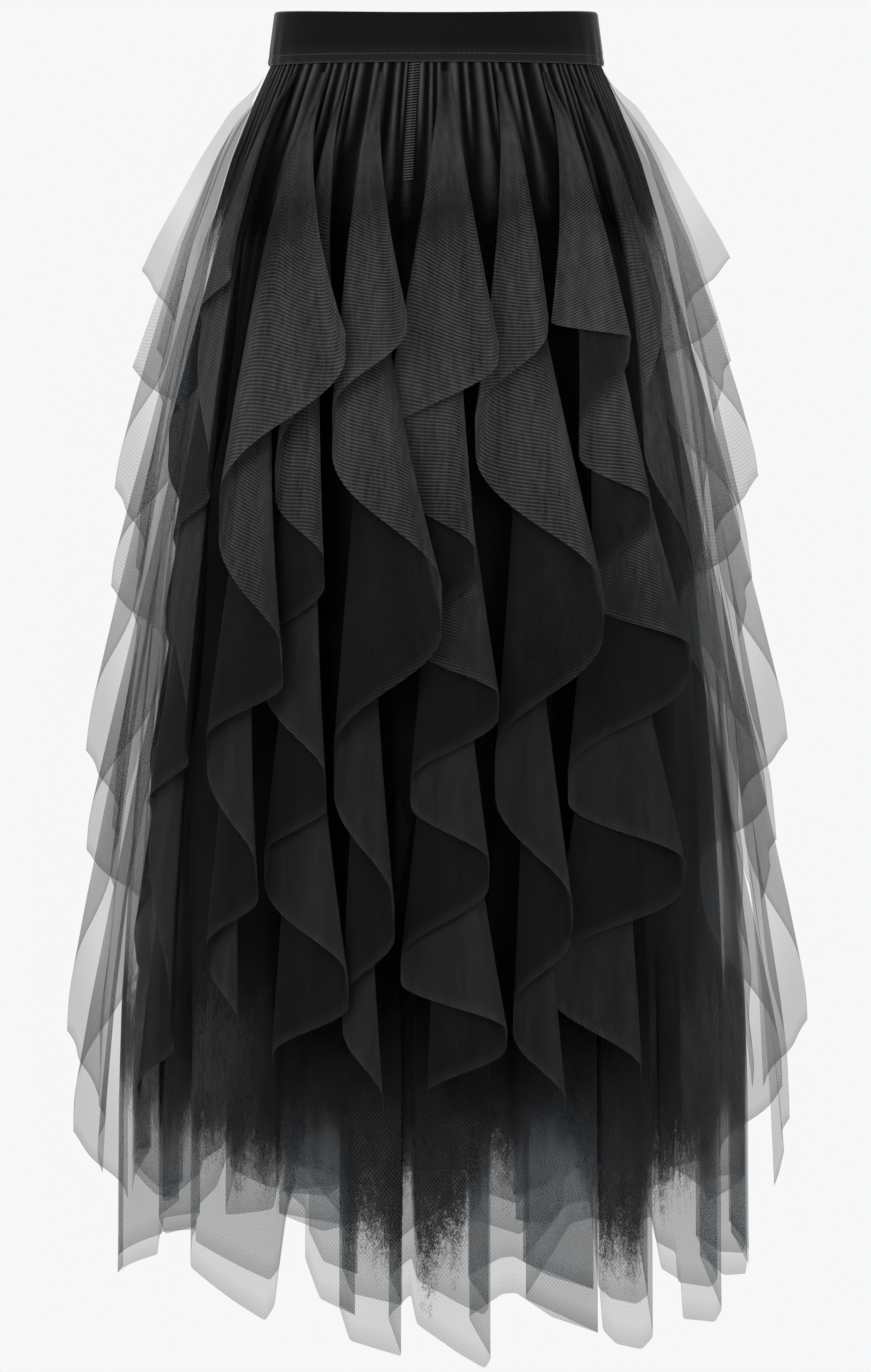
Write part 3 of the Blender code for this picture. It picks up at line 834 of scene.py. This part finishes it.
def flounce_form(plan, turns, along):
    """Azimuths, heights and points of a flounce: rows along its free edge, columns from its seam."""
    aside, edge_height, reach = free_edge(turns, along)
    edge_height = edge_height + plan.drop * MM
    root = np.minimum(FLOUNCE_TOP, edge_height + FLOUNCE_SLANT)
    low = np.minimum(1.0, (root - FLOUNCE_TOP) / (SEAM_LOW_HEIGHT - FLOUNCE_TOP))
    seam = mix(plan.seam_top, plan.seam_low, low)[:, None]
    height = mix(root[:, None], edge_height[:, None], FLOUNCE_ACROSS)
    edge_azimuth = (plan.middle + aside * plan.scale)[:, None]
    azimuth = mix(seam, edge_azimuth, mix(ROOT_SWING, 1.0, FLOUNCE_ACROSS))
    at_band = sum((turn.height + plan.drop) * MM + FLOUNCE_SLANT > FLOUNCE_TOP for turn in turns)
    out = (FLOUNCE_STACK * np.maximum(0.0, at_band - along))[:, None] + np.zeros_like(FLOUNCE_ACROSS)
    fold_depth = mix(FOLD_DEPTH_AT_SEAM, FOLD_DEPTH_AT_EDGE, FLOUNCE_ACROSS)
    out -= fold_depth * np.sin(2 * math.pi * along)[:, None]
    out += (plan.reach * reach[:, None] * MM - FLOUNCE_CLEARANCE) * FLOUNCE_ACROSS
    width = half_width(height)
    turned = np.radians(azimuth - seam) * width / LIFT_WIDTH
    mean = 0.5 * (plan.lift_left + plan.lift_right)
    slope = 0.5 * (plan.lift_right - plan.lift_left)
    out *= 1.0 + mean * (1.0 - 1.0 / np.cosh(turned)) + slope * np.tanh(turned)
    seated = FLOUNCE_SEAT - hanging_fold(azimuth, height)
    out = mix(seated, FLOUNCE_CLEARANCE + out, smooth(*FLOUNCE_SEAT_ACROSS, FLOUNCE_ACROSS))
    return azimuth, height, place(azimuth, height, width, out)


def round_cut(points):
    """Places of a flounce's points on its flat cloth. It is cut round, so the net's grain turns
    steadily along it."""
    edge_run = run_length(points[:, -1])
    root_run = run_length(points[:, 0])[-1]
    outwards = np.linalg.norm(points[:, -1] - points[:, 0], axis=-1).mean()
    inner = outwards * root_run / (edge_run[-1] - root_run)
    radius = inner + outwards * FLOUNCE_ACROSS
    turn = ((edge_run - edge_run[RUN_STATIONS // 2]) / (inner + outwards))[:, None]
    return np.stack((radius * np.sin(turn), radius * np.cos(turn)), axis=-1)


def flounce_marks(plan, turns, along, azimuth, height):
    """What a flounce's net reads at each point: its hem, its light, its plies and its even parts."""
    across = FLOUNCE_ACROSS + np.zeros_like(height)
    at_side = side_flounce(plan)
    hem = smooth(1.0 - FLOUNCE_HEM_WIDTH / FLOUNCE_SLANT, 1.0, across)
    first_run = (1.0 - smooth(*FIRST_RUN_ENDS, along))[:, None]
    near_band = smooth(*LIGHT_NEAR_BAND, height) * first_run
    streak = STREAK_LIGHT
    for each_turn, each_width in STREAKS:
        swing = each_turn * along[:, None] + each_width * across + plan.middle
        streak = streak + STREAK_DEPTH * np.sin(swing)
    deeper = mix(1.0, 1.0 if at_side else TIER_LIGHT, smooth(*TIERS_DARKEN, height))
    under = underside_runs(turns, along, plan.scale)[:, None] * (1 - first_run)
    underside = mix(1.0, UNDERSIDE_LIGHT, under)
    ridge = np.exp(-(((along - np.round(along)) / FOLD_RIDGE_WIDTH) ** 2))[:, None]
    ridge = ridge * smooth(*FOLD_RIDGE_ACROSS, across)
    lit = np.maximum(smooth(*OPENS_ACROSS, across), near_band) * streak * underside
    lit = (lit + FOLD_RIDGE_LIGHT * ridge) * deeper
    in_gathers = GATHERS_SHADE * gathers(azimuth, height) * smooth(*GATHERS_SHADE_HEIGHTS, height)
    lit = lit * (1.0 - in_gathers)
    lit = np.minimum(MOST_LIGHT * lit, MOST_LIGHT) + CUT_EDGE_LIGHT * hem
    plies = np.full_like(height, FLOUNCE_PLIES)
    if at_side:
        lit = mix(*SIDE_DIMMED, smooth(*SIDE_DIMMED_ACROSS, across)) * lit
        plies = SIDE_PLIES_AT_SEAM * (1.0 - smooth(*SIDE_PLIES_ACROSS, across))
        plies = plies + SIDE_PLIES_BELOW * smooth(*SIDE_PLIES_HEIGHTS, height)
    closed_up = smooth(*CLOSED_UP_FLOUNCE, from_centre(azimuth))
    closed_up = closed_up * (1.0 - smooth(*CLOSED_UP_ACROSS, across))
    lit = np.maximum(lit, CLOSED_UP_LIGHT * closed_up)
    return {"hem": hem, "lit": lit, "plies": plies, "closed_up": closed_up}


def flounce(plan, finish):
    """A long strip sewn down one line, whose free edge folds left and right as it falls."""
    turns = PATTERNS[plan.pattern]
    along = np.linspace(0.0, len(turns) - 1.0, RUN_STATIONS * (len(turns) - 1) + 1)
    azimuth, height, points = flounce_form(plan, turns, along)
    marks = flounce_marks(plan, turns, along, azimuth, height)
    made = loft(plan.name, points, round_cut(points), finish, "tulle", **marks)
    points.transpose(1, 0, 2)
    return made


def gathers(azimuth, height):
    """Uneven gathers under the band, 0 on their ridges and 1 in their troughs. Pairs run together
    a little lower down."""
    turns = GATHER_COUNT * azimuth / 360.0 + unevenness(azimuth, GATHERS_UNEVEN)
    paired = wave(0.5 * turns)
    fine = wave(turns)
    return mix(paired, fine, smooth(*GATHERS_PAIR, height))


def gather_light(drawn, height):
    """How much light the gathers' ridges catch, down to where they run out."""
    return (1.0 - drawn) ** RIDGE_NARROWS * smooth(*GATHERS_CATCH_LIGHT, height)


def hem_run(rows, mirrored, high, low, ragged=()):
    """Azimuths, heights and insets along a hem, and where its dark part ends, evenly spaced on the
    cloth, with rounded folds. high and low are the heights of its notches and of its points."""
    table = np.array(rows, float)
    if mirrored:
        table = table[::-1] * (-1.0, 1.0, 1.0, 1.0)
    heights = table[:, 1] * MM
    share = (heights - heights.max()) / (heights.min() - heights.max())
    table[:, 1] = mix(high, low, share) / MM + unevenness(table[:, 0], ragged)
    if ragged:
        table[:, 3] = mix(table[:, 3], UNDERSKIRT_DARK_TO, UNDERSKIRT_EVENED)
    height = table[:, 1] * MM
    flat = np.stack((np.radians(table[:, 0]) * half_width(height), height, table[:, 2] * MM))
    far = run_length(flat.T)
    cloth = np.linspace(0.0, far[-1], SKIRT_STATIONS)
    lines = [np.interp(cloth, far, values) for values in table.T]
    spread = max(1, int(HEM_ROUNDING / cloth[1]))
    weights = np.hanning(2 * spread + 3)
    weights /= weights.sum()
    pad = len(weights) // 2
    lines = [np.convolve(np.pad(line, pad, mode="edge"), weights, mode="valid") for line in lines]
    return lines[0], lines[1] * MM, lines[2] * MM, lines[3] * MM


def skirt_marks(cloth, height, hem_height, dark_to, drawn, streaks):
    """What a skirt's net reads at each point: its hem, its light, its plies and its even parts."""
    hem = smooth(-SKIRT_HEM_WIDTH, 0.0, hem_height[None, :] - height)
    above = height - dark_to - DARK_RAISE + DARK_STREAK * unevenness(cloth, streaks)
    plies = PRESSED_PLIES * smooth(*DARK_FADE, above) * smooth(*DARK_START, height)
    plies = np.maximum(plies, GATHERED_PLIES * smooth(*DARK_AT_BAND, height))
    below = smooth(*LIGHT_BELOW, height) * np.maximum(LEAST_LIGHT_BELOW, 1.0 - plies)
    lit = np.maximum(RIDGE_LIGHT * gather_light(drawn, height), below)
    clear = smooth(*LIGHT_AT_SIDES, np.abs(cloth)) * smooth(*LIGHT_BELOW_BAND, height)
    lit = np.maximum(lit, SIDE_LIGHT * clear)
    closed_up = smooth(*CLOSED_UP_SIDES, np.abs(cloth)) * smooth(*CLOSED_UP_ABOVE_HEM, height)
    return {"hem": hem, "lit": lit, "plies": plies, "closed_up": closed_up}


def gathered_skirt(name, middle, hem, inset_name, streaks, finish):
    """A gathered tulle panel whose long folds open into lapping points towards the hem."""
    hem_azimuth, hem_height, hem_inset, dark_to = hem
    cloth = np.linspace(-PANEL_HALF_TURN, PANEL_HALF_TURN, SKIRT_STATIONS)
    to_seam = smooth(*FLAT_AT_SEAM, PANEL_HALF_TURN - np.abs(cloth))
    height = mix(SKIRT_TOP, hem_height[None, :], SKIRT_DOWN[:, None])
    opened = smooth(*FOLDS_OPEN, height)
    azimuth = middle + mix(cloth, hem_azimuth, opened)
    drawn = gathers(cloth + middle, height)
    inset = column(PROFILE, inset_name, height) if inset_name else 0.0
    out = -inset - column(RELIEF, "gather", height) * drawn * to_seam - hem_inset * opened
    points = place(azimuth, height, half_width(height), out)
    arc = np.linspace(0.0, run_length(points[-1])[-1], SKIRT_STATIONS)
    grain = np.stack(np.broadcast_arrays(height, arc + GRAIN_LEANS * height), axis=-1)
    marks = skirt_marks(cloth, height, hem_height, dark_to, drawn, streaks)
    made = loft(name, points, grain, finish, "tulle", **marks)
    return made


def lining(name, start, end, finish):
    """A gathered satin panel from seam to seam, with its upper edge tucked into the band's wall."""
    cloth = np.linspace(start, end, LINING_STATIONS)
    centre = np.maximum(0.0, np.cos(np.radians(cloth)))
    hem = mix(LINING_HEM_SIDE, LINING_HEM_CENTRE, centre)
    height = mix(LINING_TOP, hem[None, :], LINING_DOWN[:, None])
    height[0] = LINING_TUCK_HEIGHT
    to_seam = smooth(*LINING_FLAT_AT_SEAM, np.minimum(cloth - start, end - cloth))
    gathered = gathers(cloth, height)
    drawn = column(RELIEF, "gather", height) * gathered * to_seam
    waved = LINING_WAVE_DEPTH * smooth(*LINING_WAVE_HEIGHTS, height) * wave(LINING_WAVES * cloth / 360.0)
    out = -column(PROFILE, "lining", height) - (drawn + waved * to_seam)
    out[0] = -LINING_TUCK_INSET
    points = place(cloth, height, half_width(height), out)
    grain = np.stack(np.broadcast_arrays(run_length(points[-1])[None, :], -height), axis=-1)
    # Painted highlight: lit lightens the satin on the gathers' ridges
    lit = LINING_LIGHT * gather_light(gathered, height)
    made = loft(name, points, grain, finish, "satin_lining", lit=lit)
    return made


def band_place(azimuth, share, out):
    """A point of the waistband, share 0 at its lower edge and 1 at its upper edge."""
    dip = BAND_FRONT_DIP * share * np.maximum(0.0, np.cos(np.radians(azimuth))) ** 2
    height = mix(BAND_BOTTOM, BAND_TOP, share) - dip
    width = mix(BAND_HALF_WIDTH_BOTTOM, BAND_HALF_WIDTH_TOP, share)
    return place(azimuth, height, width, out)


def waistband(finish):
    """A closed band with rounded edges, drawn in a little along its topstitching."""
    azimuth = np.arange(BAND_STATIONS) * 360.0 / BAND_STATIONS
    turn = np.linspace(0.0, 1.0, BAND_ROWS)
    outer = turn * (BAND_TOP - BAND_BOTTOM)
    from_stitches = (outer - TOPSTITCH_ABOVE_EDGE) / TOPSTITCH_GROOVE_WIDTH
    groove = TOPSTITCH_GROOVE * np.exp(-(from_stitches**2))
    edge = np.minimum(turn, 1 - turn) * (BAND_TOP - BAND_BOTTOM)
    rounding = BAND_EDGE_ROUNDING * (1.0 - smooth(0.0, BAND_EDGE_WIDTH, edge))
    drift = unevenness(azimuth, BAND_RIPPLES_UNEVEN)
    ripple = BAND_RIPPLE * np.sin(np.radians(BAND_RIPPLES * azimuth + drift))
    shares = np.concatenate((turn, turn[::-1]))
    out = np.concatenate((BAND_HALF_WALL - groove - rounding, -BAND_HALF_WALL + rounding[::-1]))
    waved = out[:, None] + ripple[None, :] * (1.0 - shares[:, None])
    points = band_place(azimuth[None, :], shares[:, None], waved)
    points = np.concatenate((points, points[:1]))
    share = np.concatenate((shares, shares[:1]))[:, None]
    around = np.radians(azimuth)[None, :] * BAND_HALF_WIDTH_TOP
    grain = np.stack(np.broadcast_arrays(around, share * (BAND_TOP - BAND_BOTTOM)), axis=-1)
    outside = np.concatenate((np.ones(BAND_ROWS), np.zeros(BAND_ROWS + 1)))[:, None]
    # rim is a painted highlight: the outer wall is painted lighter low down and at its lower edge, where
    # light catches it
    rim = BAND_LIGHT * (1.0 - smooth(*BAND_LIT_BELOW, share))
    rim = rim + BAND_EDGE_LIGHT * (1.0 - smooth(*BAND_EDGE_LIT, share))
    return loft("waistband", points, grain, finish, "knit_elastic", ring=True, rim=outside * rim)


def sewn_line(name, points, thickness, finish):
    """A thread along separate stitches, each a short run of points."""
    curve = bpy.data.curves.new(name, "CURVE")
    curve.dimensions = "3D"
    curve.bevel_depth = 0.5 * thickness
    curve.bevel_resolution = 1
    curve.use_fill_caps = True
    for stitch in points:
        spline = curve.splines.new("POLY")
        spline.points.add(len(stitch) - 1)
        for point, spot in zip(spline.points, stitch):
            point.co = (*spot, 1.0)
    curve.materials.append(finish)
    made = bpy.data.objects.new(name, curve)
    bpy.context.scene.collection.objects.link(made)
    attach(made, "root")
    return made


def band_topstitch(finish):
    """Stitches about 2.4 mm long and 0.8 mm apart, arched over the band's groove."""
    share = TOPSTITCH_ABOVE_EDGE / (BAND_TOP - BAND_BOTTOM)
    stitches = []
    for i in range(TOPSTITCH_COUNT):
        start = 360.0 * i / TOPSTITCH_COUNT
        azimuth = start + np.linspace(0.0, TOPSTITCH_SHARE, TOPSTITCH_POINTS) * 360.0 / TOPSTITCH_COUNT
        arch = TOPSTITCH_ARCH * np.sin(np.linspace(0.0, math.pi, TOPSTITCH_POINTS))
        stitches.append(band_place(azimuth, share, BAND_HALF_WALL - TOPSTITCH_SINK + arch))
    return sewn_line("band_topstitch", stitches, TOPSTITCH_THREAD, finish)


def serged_seam(finish):
    """The overlock chain that joins the gathered net just left of the centre front: short level
    stitches 6.4 mm wide and 1.8 mm apart."""
    stitches = []
    for height in np.arange(CHAIN_TOP, CHAIN_END, -CHAIN_STEP):
        level = height + CHAIN_RISE
        azimuth = LINING_SEAM_AZIMUTH + np.degrees((CHAIN_BESIDE_SEAM + CHAIN_OFFSETS) / half_width(level))
        drawn = column(RELIEF, "gather", level) * gathers(azimuth, level)
        stitches.append(place(azimuth, level, half_width(level), CHAIN_OUT - CHAIN_FOLLOWS * drawn))
    return sewn_line("serged_seam", stitches, CHAIN_THREAD, finish)


def floor():
    """A round of matt pale paper far below the hem. It gives the eye plain ground with no shine."""
    paper, _, shader = finish_of("pale paper", Roughness=1.0, Specular_IOR_Level=0.0)
    shader.inputs["Base Color"].default_value = from_hex("#F6F6F6")
    mesh = bpy.data.meshes.new("floor")
    turns = np.radians(np.arange(0, 360, FLOOR_STEP))
    rim = [(FLOOR_RADIUS * math.cos(a), FLOOR_RADIUS * math.sin(a), FLOOR_HEIGHT) for a in turns]
    mesh.from_pydata(rim, [], [tuple(range(len(rim)))])
    mesh.materials.append(paper)
    made = bpy.data.objects.new("floor", mesh)
    bpy.context.scene.collection.objects.link(made)


def room_light():
    """Even white light from all sides, in front of a pale wall."""
    world = bpy.data.worlds.new("studio")
    world.use_nodes = True
    tree = world.node_tree
    tree.nodes.clear()
    room = put(tree, "ShaderNodeBackground", {"Color": from_hex("#FFFFFF"), "Strength": ROOM_LIGHT})
    wall = put(tree, "ShaderNodeBackground", {"Color": from_hex("#F7F7F7")})
    seen = put(tree, "ShaderNodeLightPath")
    both = put(
        tree,
        "ShaderNodeMixShader",
        {0: seen.outputs["Is Camera Ray"], 1: room.outputs[0], 2: wall.outputs[0]},
    )
    put(tree, "ShaderNodeOutputWorld", {"Surface": both.outputs[0]})
    bpy.context.scene.world = world


def softboxes():
    """Two large soft lamps in front, turned to the skirt's middle."""
    for box in SOFTBOXES:
        light = bpy.data.lights.new(box.name, "AREA")
        light.size = box.size
        light.energy = box.power
        lamp = bpy.data.objects.new(box.name, light)
        bpy.context.scene.collection.objects.link(lamp)
        lamp.location = box.place
        toward = np.array(SKIRT_MIDDLE) - np.array(box.place)
        lamp.rotation_euler = Vector(toward).to_track_quat("-Z", "Y").to_euler()


def camera():
    """A long lens straight in front, level with the middle of its frame."""
    scene = bpy.context.scene
    scene.view_settings.view_transform = "Standard"
    scene.cycles.transparent_max_bounces = NET_LAYERS
    lens = bpy.data.cameras.new("camera")
    lens.sensor_fit = "VERTICAL"
    lens.sensor_height = SENSOR
    lens.lens = SENSOR * CAMERA_DISTANCE / (IMAGE_HEIGHT * PIXEL)
    made = bpy.data.objects.new("camera", lens)
    scene.collection.objects.link(made)
    x = (0.5 * IMAGE_WIDTH - WAIST_COLUMN) * PIXEL
    z = (WAIST_ROW - 0.5 * IMAGE_HEIGHT) * PIXEL
    made.location = (x, -CAMERA_DISTANCE, z)
    made.rotation_euler = (0.5 * math.pi, 0.0, 0.0)
    lens.clip_end = VIEW_END
    scene.camera = made


camera()
floor()
room_light()
softboxes()
satin_black = satin()
flounce_tulle = tulle(
    "black nylon tulle, flounces",
    mesh_cover=0.28,
    thread_cover=0.44,
    shaded="#0A0A0A",
    open_to_light="#3D3D3E",
    clumped=0.0,
)
skirt_tulle = tulle(
    "black nylon tulle, skirts",
    mesh_cover=0.26,
    thread_cover=0.4,
    shaded="#060607",
    open_to_light="#47484A",
    clumped=1.0,
)
thread = sewing_thread()
waistband(knit_elastic())
band_topstitch(thread)
serged_seam(thread)
lining("lining_right", LINING_SEAM_AZIMUTH, LINING_SEAM_AZIMUTH + 180, satin_black)
lining("lining_left", LINING_SEAM_AZIMUTH - 180, LINING_SEAM_AZIMUTH, satin_black)
for side, middle, mirrored in (("front", 0, False), ("back", 180, True)):
    shorter = BACK_SHORTER if mirrored else 0.0
    long_hem = hem_run(HEM_FRONT, mirrored, HEM_HIGH, HEM_LOW + shorter)
    short_low = UNDERSKIRT_HEM_LOW + shorter
    short_hem = hem_run(HEM_FRONT, not mirrored, UNDERSKIRT_HEM_HIGH, short_low, UNDERSKIRT_RAGGED)
    gathered_skirt(f"underskirt_{side}", middle, short_hem, "underskirt", UNDERSKIRT_STREAKS, skirt_tulle)
    gathered_skirt(f"overskirt_{side}", middle, long_hem, "", OVERSKIRT_STREAKS, skirt_tulle)
for plan in FLOUNCES:
    flounce(plan, flounce_tulle)
